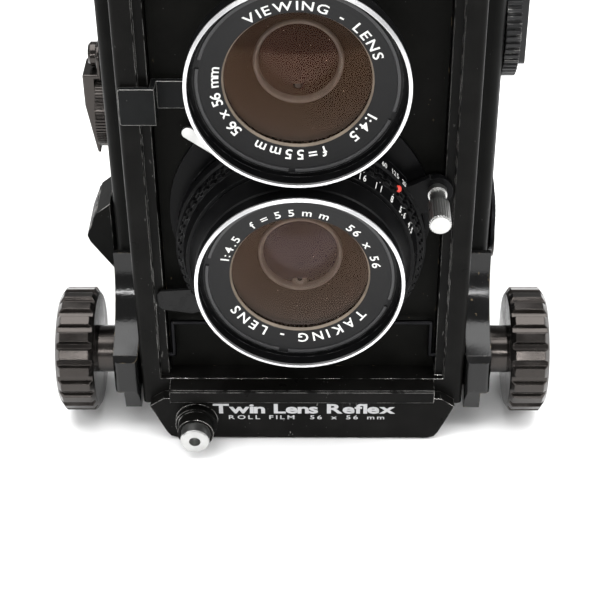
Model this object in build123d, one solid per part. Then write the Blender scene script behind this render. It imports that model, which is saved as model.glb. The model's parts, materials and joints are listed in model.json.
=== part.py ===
from build123d import *
from math import atan2, cos, degrees, hypot, pi, radians, sin, tan
import os

os.makedirs("parts", exist_ok=True)

# A twin lens reflex camera standing on its base plate, in mm.
# X = 0 is the plane of both lenses, Y = 0 is under the middle of the focusing screen,
# Z = 0 is the base plate's underside. The lenses look along -Y.

# driving dimensions
LENS_SPACING = 50.0
TAKING_Z = 58.0
VIEWING_Z = TAKING_Z + LENS_SPACING
RIM_R = 23.75
FILTER_R = 23.0
GLASS_R = 16.0
RIM_Y = -62.0
RIM_DEEP = 0.8
VIEW_SETBACK = 0.5

BODY_HALF = 46.0
BODY_FRONT = -28.0
BODY_BACK = 38.0
BODY_BOTTOM = 2.0
BODY_TOP = 138.0
LEATHER = 0.6
SIDE = BODY_HALF + LEATHER

STANDARD_HALF = 40.0
STANDARD_FRONT = -46.0
STANDARD_BACK = -38.0
STANDARD_BOTTOM = 9.5
STANDARD_TOP = 137.0
BOARD_FRONT = -41.0
BOARD_BACK = -39.0
BOARD_HALF = 33.0
RAIL_HALF = 35.2
BOARD_BOTTOM = 17.5
BOARD_TOP = 134.0

FOCUS_Y = -33.5
FOCUS_Z = 17.0
MODULE = 0.5
PINION_TEETH = 14
PITCH_R = MODULE * PINION_TEETH / 2
TOOTH_PITCH = pi * MODULE
SHAFT_R = 2.0
RACK_IN = 36.5
RACK_OUT = 39.5
RACK_BOTTOM = 9.0
RACK_END = 36.0
KNOB_R = 15.7
KNOB_IN = 51.5
KNOB_OUT = 61.0
KNOB_RIBS = 22

GATE_Y = 30.0
FILM_HALF = 28.0
CHAMBER_HALF = 33.0
SPOOL_Y = 20.0
SUPPLY_Z = 16.0
TAKEUP_Z = 101.0
SPOOL_R = 12.5
SPOOL_HALF = 31.5
SPOOL_HOLE_R = 2.6
PIN_R = 2.0
COUNTER_Y = 20.0
COUNTER_Z = 110.0

MIRROR_HALF = 27.5
MIRROR_LOW = -21.0
MIRROR_HIGH = 26.0
MIRROR_THICK = 2.0

DOOR_FRONT = 38.3
DOOR_BACK = 50.0
DOOR_BOTTOM = 2.5
DOOR_HINGE_Y = 51.4
DOOR_HINGE_Z = 2.6

HOOD_HALF = 36.0
HOOD_WALL_TOP = 155.5
LEAF_THICK = 1.2
LID_Y = -25.0
LID_Z = 157.0
LID_LENGTH = 59.5
SIDE_LEAF_X = 33.0
LEFT_LEAF_Z = 147.0
RIGHT_LEAF_Z = 149.5
REAR_LEAF_Y = 36.0
REAR_LEAF_Z = 152.0
MAGNIFIER_Y = -22.4
MAGNIFIER_Z = 211.0

RUNNING = 0.06
CLEAR = 0.3


# shapes between named limits
def block(x0, x1, y0, y1, z0, z1):
    middle = Pos((x0 + x1) / 2, (y0 + y1) / 2, (z0 + z1) / 2)
    return middle * Box(x1 - x0, y1 - y0, z1 - z0)


def rod_x(r, x0, x1, y, z):
    return Pos((x0 + x1) / 2, y, z) * Rot(0, 90, 0) * Cylinder(r, x1 - x0)


def rod_y(r, y0, y1, x, z):
    return Pos(x, (y0 + y1) / 2, z) * Rot(90, 0, 0) * Cylinder(r, y1 - y0)


def rod_z(r, z0, z1, x, y):
    return Pos(x, y, (z0 + z1) / 2) * Cylinder(r, z1 - z0)


def tube_y(outer, inner, y0, y1, x, z):
    return rod_y(outer, y0, y1, x, z) - rod_y(inner, y0 - 1, y1 + 1, x, z)


def outline(points):
    return make_face(Polyline(*points, close=True))


def prism_x(points, x0, x1):
    """A (y, z) outline run along X."""
    return extrude(Plane.YZ.offset(x0) * outline(points), x1 - x0)


def prism_y(points, y0, y1):
    """An (x, z) outline run along Y."""
    return extrude(Plane.XZ.offset(-y1) * outline(points), y1 - y0)


def turned_y(points, x, z):
    """An outline of (radius, y) points turned about an axis along Y."""
    return Pos(x, 0, z) * revolve(outline(points), Axis.Y)


def turned_x(points, y, z):
    """An outline of (x, radius) points turned about an axis along X."""
    return Pos(0, y, z) * revolve(outline(points), Axis.X)


def funnel_y(y0, w0, h0, y1, w1, h1, z):
    """A four-sided funnel between two rectangles across the Y axis."""
    across = dict(x_dir=(1, 0, 0), z_dir=(0, 1, 0))
    first = Plane(origin=(0, y0, z), **across) * Rectangle(w0, h0)
    last = Plane(origin=(0, y1, z), **across) * Rectangle(w1, h1)
    return loft([first.face(), last.face()])


def cap(r, edge, apex):
    """The (radius, y) arc of a spherical cap, from its rim to its top."""
    sag = abs(apex - edge)
    ball = (r * r + sag * sag) / (2 * sag)
    drop = ball - (ball**2 - r * r / 4) ** 0.5
    middle = apex - drop if apex > edge else apex + drop
    return ThreePointArc((r, edge), (r / 2, middle), (0, apex))


def both_sides(shape):
    return [shape, mirror(shape, Plane.YZ)]


def wire(points, r):
    """Round wire bent through a list of points."""
    bent = Pos(*points[0]) * Sphere(r)
    for a, b in zip(points, points[1:]):
        start, end = Vector(*a), Vector(*b)
        run = end - start
        lying = Plane(origin=start + run * 0.5, z_dir=run.normalized())
        bent += lying * Cylinder(r, run.length)
        bent += Pos(*b) * Sphere(r)
    return bent


def fluted(outer, inner, count, flat):
    """An outline around 0, 0 with straight grooves; flat is the share left as rib."""
    points = []
    for i in range(count):
        middle = 2 * pi * i / count
        rib = flat * pi / count
        floor = (1 - flat) * 0.55 * pi / count
        gap = middle + pi / count
        for r, a in (
            (outer, middle - rib),
            (outer, middle + rib),
            (inner, gap - floor),
            (inner, gap + floor),
        ):
            points.append((r * cos(a), r * sin(a)))
    return points


def fluted_x(outer, inner, count, flat, x0, x1, y, z):
    points = [(y + u, z + v) for u, v in fluted(outer, inner, count, flat)]
    return prism_x(points, x0, x1)


def fluted_y(outer, inner, count, flat, y0, y1, x, z):
    points = [(x + u, z + v) for u, v in fluted(outer, inner, count, flat)]
    return prism_y(points, y0, y1)


def sector_bar(angle, inner, outer, width, y0, y1, z):
    """A flat bar that points away from an axis along Y at X = 0."""
    bar = block(inner, outer, y0, y1, -width / 2, width / 2)
    return Pos(0, 0, z) * Rot(0, -angle, 0) * bar


def save(name, pieces):
    pieces = pieces if isinstance(pieces, list) else [pieces]
    solids = [s for piece in pieces for s in piece.solids()]
    shape = solids[0] if len(solids) == 1 else Compound(children=solids)
    shape.label = name
    export_step(shape, f"parts/{name}.step")


# body
def light_chamber():
    front = 2 * 24.0
    back = 2 * (FILM_HALF + 0.5)
    return funnel_y(BODY_FRONT - 0.1, front, front, GATE_Y + 0.1, back, back, TAKING_Z)


def viewing_chamber():
    """The space over the mirror, open to the front and to the screen."""
    wall = BODY_FRONT + 2.5
    roof = BODY_TOP + 0.1
    low = VIEWING_Z + MIRROR_LOW - 1
    high = MIRROR_HIGH + 1
    points = [
        (BODY_FRONT - 0.1, low),
        (MIRROR_LOW - 1, low),
        (high, VIEWING_Z + high),
        (high, roof),
        (wall, roof),
        (wall, 133),
        (BODY_FRONT - 0.1, 133),
    ]
    return prism_x(points, -MIRROR_HALF, MIRROR_HALF)


def reflex_mirror():
    drop = MIRROR_THICK / 2**0.5
    low = (MIRROR_LOW, VIEWING_Z + MIRROR_LOW)
    high = (MIRROR_HIGH, VIEWING_Z + MIRROR_HIGH)
    points = [low, high, (high[0] + drop, high[1] - drop), (low[0] + drop, low[1] - drop)]
    return prism_x(points, -MIRROR_HALF, MIRROR_HALF)


def spool_chambers():
    """Two round spool bays and the film path that joins them, open to the rear."""
    bay_r = SPOOL_R + 0.7
    half = CHAMBER_HALF
    back = BODY_BACK + 0.1
    space = rod_x(bay_r, -half, half, SPOOL_Y, SUPPLY_Z)
    space += rod_x(bay_r, -half, half, SPOOL_Y, TAKEUP_Z)
    space += block(-half, half, SPOOL_Y, back, SUPPLY_Z - bay_r + 0.2, GATE_Y - 3.4)
    space += block(-half, half, SPOOL_Y, back, TAKEUP_Z - 11.4, TAKEUP_Z + bay_r - 0.2)
    space += block(-half, half, GATE_Y, back, SUPPLY_Z, 128)
    return space


SIDE_BORES = [
    # side, y, z, radius, inner end of the bore
    (-1, -8.0, 73.0, 3.0, 38.0),
    (-1, COUNTER_Y, COUNTER_Z, 1.5, 40.0),
    (1, -8.0, 100.0, 3.0, 38.0),
    (1, -14.0, 46.0, 2.0, 40.0),
    (1, SPOOL_Y, SUPPLY_Z, PIN_R, CHAMBER_HALF - 0.1),
    (1, SPOOL_Y, TAKEUP_Z, PIN_R, CHAMBER_HALF - 0.1),
]


def side_bore(side, y, z, r, depth, reach):
    low, high = sorted((side * depth, side * reach))
    return rod_x(r + RUNNING, low, high, y, z)


def body_casting():
    shell = block(-BODY_HALF, BODY_HALF, BODY_FRONT, BODY_BACK, BODY_BOTTOM, BODY_TOP)
    shell = fillet(shell.edges().filter_by(Axis.Z).group_by(Axis.Y)[0], 2.5)
    shell -= light_chamber()
    shell -= viewing_chamber()
    shell -= reflex_mirror()
    shell -= spool_chambers()
    for side in (-1, 1):
        low, high = sorted((side * (RACK_IN - 0.4), side * (RACK_OUT + 0.4)))
        top = FOCUS_Z - PITCH_R + 0.8
        shell -= block(low, high, BODY_FRONT - 0.1, RACK_END + 0.8, RACK_BOTTOM - 0.4, top)
    for side, y, z, r, depth in SIDE_BORES:
        shell -= side_bore(side, y, z, r, depth, BODY_HALF + 1)
    shell -= rod_z(5.5, BODY_BOTTOM - 0.1, 9.0, 0, 0)
    for z in (SUPPLY_Z, TAKEUP_Z):
        shell += rod_x(SPOOL_HOLE_R - 0.3, -CHAMBER_HALF - 1, -SPOOL_HALF + 3, SPOOL_Y, z)
    for y, z in FILM_BARS:
        shell -= rod_x(1.0, -CHAMBER_HALF - 1.5, CHAMBER_HALF + 1.5, y, z)
    return shell


FILM_BARS = [(33.0, 24.2), (33.0, 91.8)]


def film_guide_bars():
    bars = []
    for y, z in FILM_BARS:
        bar = rod_x(2.2, -31.5, 31.5, y, z)
        bar += rod_x(1.0, -CHAMBER_HALF - 1.5, CHAMBER_HALF + 1.5, y, z)
        bars.append(bar)
    return bars


def focus_housing():
    """The casting beside the lens standard that carries the focusing shaft."""
    foot = BODY_FRONT
    lip = (foot - 1.4, 44.0)
    nose = (-45.5, 24.5)
    sweep = ThreePointArc(lip, (-34.2, 30.8), nose)
    edge = Polyline(
        nose, (-47.0, 23.2), (-47.0, 14.0), (-45.8, 8.0), (foot, 8.0), (foot, 44.0), lip
    )
    inner = 40.5
    outer = BODY_HALF + 0.7
    casting = extrude(Plane.YZ.offset(inner) * make_face([sweep, edge]), outer - inner)
    casting -= block(44.5, outer + 1, -50, foot - 6, 0, 13.6)
    casting -= rod_x(SHAFT_R + RUNNING, inner - 1, outer + 1, FOCUS_Y, FOCUS_Z)
    nose_edges = casting.edges().filter_by(Axis.Z).group_by(Axis.Y)[0]
    return fillet(nose_edges, 1.4)


def base_plate():
    plate = block(-45.5, 45.5, BODY_FRONT + 0.5, DOOR_BACK - 0.5, 0, BODY_BOTTOM)
    plate = fillet(plate.edges().filter_by(Axis.Z), 3)
    plate += block(-12, 12, DOOR_BACK - 1, DOOR_HINGE_Y, 0.9, BODY_BOTTOM)
    plate += rod_x(1.7, -12, 12, DOOR_HINGE_Y, DOOR_HINGE_Z)
    plate -= rod_x(0.8, -13, 13, DOOR_HINGE_Y, DOOR_HINGE_Z)
    return plate - rod_z(5.5, -1, 3, 0, 0)


def tripod_socket():
    return rod_z(5.5, 0, 9, 0, 0) - rod_z(3.175, -1, 7, 0, 0)


def side_leather(side):
    """Leather on one flank, cut out where the axles pass."""
    low, high = sorted((side * BODY_HALF, side * SIDE))
    skin = block(low, high, -22, 36, 5, 134)
    for at, y, z, r, _ in SIDE_BORES:
        if at == side:
            skin -= rod_x(r + CLEAR, low - 1, high + 1, y, z)
    return fillet(skin.edges().filter_by(Axis.X).filter_by(GeomType.LINE), 4)


def film_gate():
    plate = block(-32.8, 32.8, GATE_Y, GATE_Y + 2, 27.2, 88.8)
    plate -= block(-FILM_HALF, FILM_HALF, 29, 33, TAKING_Z - FILM_HALF, TAKING_Z + FILM_HALF)
    return plate


def focusing_screen():
    return block(-29, 29, -26, 29, BODY_TOP, BODY_TOP + 1.6)


def screen_frame():
    frame = block(-34, 34, -26.3, 35, BODY_TOP, BODY_TOP + 3)
    frame -= focusing_screen()
    return frame - block(-26.5, 26.5, -23.5, 26.5, BODY_TOP, BODY_TOP + 4)


def hood_frame():
    """The walls round the screen, with the hinge lugs of all four hood leaves."""
    walls = block(-HOOD_HALF, HOOD_HALF, BODY_FRONT, BODY_BACK, BODY_TOP, HOOD_WALL_TOP)
    walls = fillet(walls.edges().filter_by(Axis.Z), 2)
    walls -= block(-34.2, 34.2, -26.4, 36.8, BODY_TOP - 1, HOOD_WALL_TOP + 1)
    for x in (-29.0, 29.0):
        lug = block(x - 2, x + 2, BODY_FRONT + 0.4, -26.4, HOOD_WALL_TOP - 3, LID_Z)
        lug += block(x - 2, x + 2, BODY_FRONT + 0.4, LID_Y, LID_Z - 1.5, LID_Z)
        lug += rod_x(1.6, x - 2, x + 2, LID_Y, LID_Z)
        walls += lug
    walls -= rod_x(0.8 + RUNNING, -32, 32, LID_Y, LID_Z)
    for x, z in ((-SIDE_LEAF_X, LEFT_LEAF_Z), (SIDE_LEAF_X, RIGHT_LEAF_Z)):
        walls -= rod_y(0.6 + RUNNING, BODY_FRONT - 1, BODY_BACK + 1, x, z)
    walls -= rod_x(0.6 + RUNNING, -HOOD_HALF - 1, HOOD_HALF + 1, REAR_LEAF_Y, REAR_LEAF_Z)
    return walls


def strap_lug():
    """A slotted plate for a strap end, screwed to the flank."""
    plate = block(SIDE, SIDE + 1.2, 8, 20, 124, 132)
    loop = block(SIDE + 1.2, SIDE + 4.6, 9, 19, 127, 129)
    loop -= block(SIDE + 1.2, SIDE + 3.4, 11, 17, 126, 130)
    return fillet((plate + loop).edges().filter_by(Axis.X).group_by(Axis.Z)[0], 1.5)


def slotted_head(x0, y, z):
    """A cheese-head screw lying on a face across X."""
    head = rod_x(1.5, x0, x0 + 0.8, y, z)
    return head - block(x0 + 0.4, x0 + 2, y - 2, y + 2, z - 0.2, z + 0.2)


def body_screws():
    return [s for y in (-18, 28) for s in both_sides(slotted_head(HOOD_HALF, y, 143))]


def bellows():
    """Pleated leather between the body and the lens standard."""
    folds = 4
    wall = 0.7
    step = (BODY_FRONT - STANDARD_BACK) / (2 * folds)
    wide, tall, middle = 66.0, 110.0, 80.0
    skin = None
    hollow = None
    for i in range(2 * folds):
        y0 = STANDARD_BACK + i * step
        in0, in1 = (0, 3.5) if i % 2 == 0 else (3.5, 0)
        outer = funnel_y(y0, wide - in0, tall - in0, y0 + step, wide - in1, tall - in1, middle)
        less = 2 * wall + 3.5
        inner = funnel_y(
            y0, wide - in0 - less, tall - in0 - less,
            y0 + step, wide - in1 - less, tall - in1 - less, middle,
        )
        skin = outer if skin is None else skin + outer
        hollow = inner if hollow is None else hollow + inner
    return skin - hollow


# film door
def back_door():
    door = block(-BODY_HALF, BODY_HALF, DOOR_FRONT, DOOR_BACK, DOOR_BOTTOM, BODY_TOP)
    rear = door.edges().group_by(Axis.Y)[-1]
    door = fillet(rear, 2.5)
    door -= block(-43.5, 43.5, DOOR_FRONT - 1, DOOR_BACK - 2, DOOR_BOTTOM + 2, BODY_TOP - 2)
    for low, high in ((12.3, 30), (-30, -12.3)):
        door += rod_x(1.7, low, high, DOOR_HINGE_Y, DOOR_HINGE_Z)
        door += block(low, high, DOOR_BACK - 2, DOOR_HINGE_Y, DOOR_BOTTOM + 0.2, DOOR_BOTTOM + 4)
        door -= rod_x(0.8 + RUNNING, low - 1, high + 1, DOOR_HINGE_Y, DOOR_HINGE_Z)
    return door


def back_leather():
    skin = block(-40, 40, DOOR_BACK, DOOR_BACK + LEATHER, 12, 130)
    skin = fillet(skin.edges().filter_by(Axis.Y), 5)
    return skin - rod_y(3, DOOR_BACK - 1, DOOR_BACK + 2, 0, DIAL_Z)


DIAL_Z = 96.0


def pressure_plate():
    plate = block(-30, 30, 32.6, 33.8, 30, 86)
    return fillet(plate.edges().filter_by(Axis.Y), 3)


def pressure_spring():
    """Two bowed leaf springs between the door and the pressure plate."""
    springs = []
    for x in (-14.0, 14.0):
        back = DOOR_BACK - 2
        arc = ThreePointArc((back, 36), (33.8, TAKING_Z), (back, 80))
        inner = ThreePointArc((back, 79.2), (34.4, TAKING_Z), (back, 36.8))
        ends = [Line((back, 80), (back, 79.2)), Line((back, 36.8), (back, 36))]
        leaf = make_face([arc, ends[0], inner, ends[1]])
        springs.append(extrude(Plane.YZ.offset(x - 4) * leaf, 8))
    return springs


def door_hinge_pin():
    return rod_x(0.8, -30.5, 30.5, DOOR_HINGE_Y, DOOR_HINGE_Z)


def reminder_dial():
    y0 = DOOR_BACK + LEATHER + 0.1
    dial = fluted_y(14, 13.5, 60, 0.5, y0, y0 + 1.4, 0, DIAL_Z)
    dial += rod_y(11, y0 + 1.4, y0 + 2.0, 0, DIAL_Z)
    dial += rod_y(2.6, DOOR_BACK + 0.1, y0, 0, DIAL_Z)
    return dial


def door_latch():
    z0 = BODY_TOP + 0.1
    latch = block(-9, 9, 40.5, 48.0, z0, z0 + 1.2)
    for i in range(5):
        latch += block(-6 + 2.6 * i, -4.8 + 2.6 * i, 41.5, 47, z0 + 1.2, z0 + 2.2)
    return latch


# film transport
def spool(z):
    end = SPOOL_HALF
    core = 6.0
    flange = end - 1.2
    points = [
        (-end, SPOOL_HOLE_R), (-end, SPOOL_R), (-flange, SPOOL_R), (-flange, core),
        (flange, core), (flange, SPOOL_R), (end, SPOOL_R), (end, SPOOL_HOLE_R),
    ]
    shape = turned_x(points, SPOOL_Y, z)
    return shape - block(-20, 20, SPOOL_Y - 0.8, SPOOL_Y + 0.8, z - 8, z + 8)


def spool_knob(z):
    """A pull-out knob whose pin holds one end of a spool."""
    knob = fluted_x(9, 8.4, 32, 0.5, SIDE + 0.3, SIDE + 5.4, SPOOL_Y, z)
    knob += rod_x(7, SIDE + 5.4, SIDE + 6.2, SPOOL_Y, z)
    return knob + rod_x(PIN_R, SPOOL_HALF - 3, SIDE + 0.3, SPOOL_Y, z)


CRANK_Y = -8.0
CRANK_Z = 73.0
CRANK_R = 9.5
CRANK_REACH = 14.8
CRANK_HALF = 4.5


def crank_disc():
    face = -SIDE - 0.3
    disc = fluted_x(CRANK_R, CRANK_R - 0.35, 72, 0.5, face - 3.0, face, CRANK_Y, CRANK_Z)
    return disc + rod_x(3.0, face, -39, CRANK_Y, CRANK_Z)


def crank_arm():
    """A thick arm that slopes out from the disc's foot and steps down to a tongue."""
    face = -SIDE - 3.3
    top = CRANK_Z + CRANK_REACH + 3.2
    points = [
        (face, CRANK_Z - 10.5), (face - 0.8, CRANK_Z - 10.5), (face - 2.9, CRANK_Z + 3),
        (face - 2.9, CRANK_Z + 11.4), (face + 0.7, CRANK_Z + 11.4), (face + 0.7, top),
        (face + 1.9, top), (face + 1.9, CRANK_Z + CRANK_R + 0.5), (face, CRANK_Z + CRANK_R + 0.5),
    ]
    arm = prism_y(points, CRANK_Y - CRANK_HALF, CRANK_Y + CRANK_HALF)
    arm = fillet(arm.edges().filter_by(Axis.X).group_by(Axis.Z)[-1], 3)
    return arm - rod_x(1.5 + RUNNING, -60, -40, CRANK_Y, CRANK_Z + CRANK_REACH)


def crank_knob():
    face = -SIDE - 2.7
    knob = turned_x(
        [(face, 0), (face, 3.0), (face - 1.4, 3.0), (face - 2.0, 2.4), (face - 2.0, 0)],
        CRANK_Y, CRANK_Z + CRANK_REACH,
    )
    return knob + rod_x(1.5, face, face + 1.2, CRANK_Y, CRANK_Z + CRANK_REACH)


def counter_dial():
    face = -SIDE - 0.3
    dial = fluted_x(6.5, 6.1, 36, 0.5, face - 1.2, face, COUNTER_Y, COUNTER_Z)
    return dial + rod_x(1.5, face, -41, COUNTER_Y, COUNTER_Z)


def side_release():
    """A ribbed wedge on the flank that is pushed down to release the shutter."""
    face = -SIDE - 0.3
    points = [(face, 56.3), (-50.8, 53.2), (-53.2, 47), (-52.6, 45), (face, 36.5)]
    wedge = prism_y(points, -26, -12)
    for i in range(4):
        x = -50.0 - 0.85 * i
        z = 54.6 - 1.9 * i
        wedge -= Pos(x, -19, z + 0.4) * Rot(0, -60, 0) * Box(0.8, 16, 0.5)
    return wedge


def lens_lock_dial():
    y, z = -8.0, 100.0
    face = SIDE + 0.3
    dial = fluted_x(16, 15.4, 60, 0.5, face, face + 3.4, y, z)
    dial += rod_x(3.0, 39, face, y, z)
    bar = block(face + 3.4, face + 6.4, y - 3.5, y + 3.5, z - 14, z + 14)
    return dial + fillet(bar.edges().filter_by(Axis.X), 2)


def distance_scale():
    y, z = -14.0, 46.0
    face = SIDE + 0.3
    dial = rod_x(10, face, face + 0.8, y, z)
    dial += fluted_x(6, 5.6, 30, 0.5, face + 0.8, face + 1.4, y, z)
    return dial + rod_x(2.0, 41, face, y, z)


# focusing drive
def tooth(root, tip):
    """Half widths of a tooth at its root and its tip, for a 20 degree flank."""
    middle = 0.36 * TOOTH_PITCH / 2
    slope = tan(radians(20))
    return middle + root * slope, middle - tip * slope


ADDENDUM = 0.32
DEDENDUM = 0.5


def focus_shaft():
    shaft = rod_x(SHAFT_R, -KNOB_OUT + 1.5, KNOB_OUT - 1.5, FOCUS_Y, FOCUS_Z)
    wide, narrow = tooth(DEDENDUM, ADDENDUM)
    root, tip = PITCH_R - DEDENDUM, PITCH_R + ADDENDUM
    points = []
    for i in range(PINION_TEETH):
        middle = -pi / 2 + 2 * pi * i / PINION_TEETH
        for r, half in ((root, -wide), (tip, -narrow), (tip, narrow), (root, wide)):
            a = middle + half / r
            points.append((FOCUS_Y + r * cos(a), FOCUS_Z + r * sin(a)))
    for pinion in both_sides(prism_x(points, RACK_IN, RACK_OUT)):
        shaft += pinion
    return shaft


def focus_rack():
    """A toothed bar under the pinion, fixed to the back of the lens standard."""
    wide, narrow = tooth(DEDENDUM, ADDENDUM)
    pitch_line = FOCUS_Z - PITCH_R
    points = [(STANDARD_BACK, RACK_BOTTOM)]
    points.append((STANDARD_BACK, pitch_line - DEDENDUM))
    first = FOCUS_Y - 2.5 * TOOTH_PITCH
    for i in range(int((RACK_END - first) / TOOTH_PITCH)):
        y = first + i * TOOTH_PITCH
        points.append((y - wide, pitch_line - DEDENDUM))
        points.append((y - narrow, pitch_line + ADDENDUM))
        points.append((y + narrow, pitch_line + ADDENDUM))
        points.append((y + wide, pitch_line - DEDENDUM))
    points.append((RACK_END, pitch_line - DEDENDUM))
    points.append((RACK_END, RACK_BOTTOM))
    return prism_x(points, RACK_IN, RACK_OUT)


def focus_knob():
    ribs = fluted_x(KNOB_R, KNOB_R - 1.1, KNOB_RIBS, 0.5, KNOB_IN, KNOB_OUT, FOCUS_Y, FOCUS_Z)
    bevel = turned_x(
        [
            (KNOB_IN, 0), (KNOB_IN, KNOB_R - 1.6), (KNOB_IN + 1.2, KNOB_R + 0.1),
            (KNOB_OUT - 1.4, KNOB_R + 0.1), (KNOB_OUT, KNOB_R - 1.8), (KNOB_OUT, 0),
        ],
        FOCUS_Y, FOCUS_Z,
    )
    knob = ribs & bevel
    knob -= rod_x(11.5, KNOB_OUT - 1.0, KNOB_OUT + 1, FOCUS_Y, FOCUS_Z)
    knob += rod_x(6, BODY_HALF + 1.0, KNOB_IN, FOCUS_Y, FOCUS_Z)
    return knob - rod_x(SHAFT_R, BODY_HALF, KNOB_OUT - 1.5, FOCUS_Y, FOCUS_Z)


# lens standard
def front_standard():
    frame = block(
        -STANDARD_HALF, STANDARD_HALF, STANDARD_FRONT, STANDARD_BACK,
        STANDARD_BOTTOM, STANDARD_TOP,
    )
    frame = fillet(frame.edges().filter_by(Axis.Z).group_by(Axis.Y)[0], 1.2)
    frame -= block(
        -BOARD_HALF, BOARD_HALF, STANDARD_FRONT - 1, BOARD_BACK, BOARD_BOTTOM, BOARD_TOP
    )
    frame -= block(-BOARD_HALF, BOARD_HALF, STANDARD_FRONT - 1, -43.5, BOARD_BOTTOM, 140)
    frame -= block(
        -RAIL_HALF, RAIL_HALF, STANDARD_FRONT - 1, STANDARD_FRONT + 1.5, BOARD_BOTTOM, 140
    )
    frame -= block(-29, 29, BOARD_BACK - 1, STANDARD_BACK + 1, 28, 132)
    frame -= rod_x(0.6 + RUNNING, -BOARD_HALF - 2.2, BOARD_HALF + 2.2, WIRE_Y, WIRE_PIVOT_Z)
    return frame


def lower_apron():
    """The panel under the lens board, its ledge and the release button's boss."""
    points = [
        (-38, 11), (-34.1, 2.2), (-33.2, 1.0), (-31.6, 0.5), (31.6, 0.5), (33.2, 1.0),
        (34.1, 2.2), (38, 11), (34.5, 13.5), (-34.5, 13.5),
    ]
    panel = prism_y(points, -49, STANDARD_FRONT)
    ledge = block(-32.7, 32.7, -51, STANDARD_FRONT, 13.5, BOARD_BOTTOM)
    ledge = chamfer(ledge.edges().filter_by(Axis.X).group_by(Axis.Y)[0], 0.4)
    boss = rod_y(4.5, -54.2, -48, BUTTON_X, BUTTON_Z)
    boss += rod_y(5.2, -51, -48, BUTTON_X, BUTTON_Z)
    hole = rod_y(BUTTON_R + RUNNING, -56, -46.9, BUTTON_X, BUTTON_Z)
    return panel + ledge + boss - hole


BUTTON_X = -26.5
BUTTON_Z = 6.4
BUTTON_R = 3.6


def release_button():
    button = rod_y(BUTTON_R, -57.2, -50.0, BUTTON_X, BUTTON_Z)
    button = chamfer(button.edges().group_by(Axis.Y)[0], 0.3)
    return button - rod_y(1.4, -58, -53.5, BUTTON_X, BUTTON_Z)


def lens_board():
    board = block(-32.8, 32.8, BOARD_FRONT, BOARD_BACK, BOARD_BOTTOM, BOARD_TOP - 0.2)
    for z in (TAKING_Z, VIEWING_Z):
        board -= rod_y(14, BOARD_FRONT - 1, BOARD_BACK + 1, 0, z)
    return board


SHUTTER_R = 29.1
SHUTTER_FRONT = -47.0
SHUTTER_BACK = -42.2
NECK_R = 20.0
LEVER_IN = NECK_R + CLEAR
LEVER_OUT = 23.6
WIND_Y = (-43.4, -42.6)
TRIP_Y = (-45.6, -44.8)
WIND_ANGLE = 131.0
TRIP_ANGLE = 217.0
PLATE_R = 30.4
PLATE_Z = TAKING_Z + 6.7
VIEW_NECK_R = 19.5
SOCKET_X = 31.1
SOCKET_Z = 73.5
LOBE_FRONT = -46.4


def lever_slot(angle, levels):
    """The opening in the shutter case that one lever swings in."""
    y0, y1 = levels[0] - CLEAR, levels[1] + CLEAR
    return sector_bar(angle, LEVER_OUT - 1, SHUTTER_R + 1, 15, y0, y1, TAKING_Z)


def shutter_housing():
    """The between-lens shutter case, its back plate and the flash socket's lobe."""
    case = turned_y(
        [
            (17, BOARD_FRONT), (NECK_R + 4, BOARD_FRONT), (NECK_R + 4, SHUTTER_BACK),
            (SHUTTER_R, SHUTTER_BACK), (SHUTTER_R, SHUTTER_FRONT + 0.5),
            (SHUTTER_R - 0.5, SHUTTER_FRONT), (17, SHUTTER_FRONT),
        ],
        0, TAKING_Z,
    )
    rise = SOCKET_Z - TAKING_Z
    angle = degrees(atan2(rise, SOCKET_X))
    front, back = LOBE_FRONT, LOBE_FRONT + 1.5
    lobe = sector_bar(angle, 25, hypot(SOCKET_X, rise), 8, front, back, TAKING_Z)
    plate = rod_y(PLATE_R, SHUTTER_BACK, BOARD_FRONT, 0, PLATE_Z)
    case += plate - rod_y(VIEW_NECK_R + CLEAR, -50, -40, 0, VIEWING_Z)
    case += lobe + rod_y(3.6, front, back, SOCKET_X, SOCKET_Z)
    case += rod_y(1.6, back, BOARD_FRONT, SOCKET_X, SOCKET_Z)
    case -= rod_y(17, BOARD_FRONT - 10, BOARD_FRONT + 1, 0, TAKING_Z)
    case -= tube_y(LEVER_OUT + CLEAR, NECK_R, TRIP_Y[0] - CLEAR, WIND_Y[1] + CLEAR, 0, TAKING_Z)
    case -= lever_slot(WIND_ANGLE, WIND_Y)
    return case - lever_slot(TRIP_ANGLE, TRIP_Y)


def flash_socket():
    """A coaxial flash socket, closed by a knurled cap."""
    post = rod_y(1.8, -52.0, LOBE_FRONT, SOCKET_X, SOCKET_Z)
    post += rod_y(2.2, LOBE_FRONT - 1.6, LOBE_FRONT, SOCKET_X, SOCKET_Z)
    cap = fluted_y(2.5, 2.3, 24, 0.5, -59.6, -52.0, SOCKET_X, SOCKET_Z)
    return post + cap + rod_y(2.2, -60.0, -59.6, SOCKET_X, SOCKET_Z)


RING_CORE = 23.0
SPEED_Y = (-48.9, SHUTTER_FRONT - 0.2)
APERTURE_Y = (-52.9, -49.1)


def taking_barrel():
    """The front lens cell: a core for the setting rings and a cup for the glass."""
    step = APERTURE_Y[0] - 0.3
    return turned_y(
        [
            (GLASS_R, SHUTTER_FRONT), (RING_CORE, SHUTTER_FRONT), (RING_CORE, step),
            (RING_CORE + 2.4, step), (RIM_R + 0.2, step - 4.2), (RIM_R - 0.1, step - 4.6),
            (RIM_R - 0.1, RIM_Y + RIM_DEEP), (FILTER_R, RIM_Y + RIM_DEEP),
            (FILTER_R, NAME_Y), (NAME_R, NAME_Y), (NAME_R, NAME_Y + 1.6),
            (GLASS_R, NAME_Y + 1.6),
        ],
        0, TAKING_Z,
    )


NAME_Y = -58.6
NAME_R = 22.0


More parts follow.
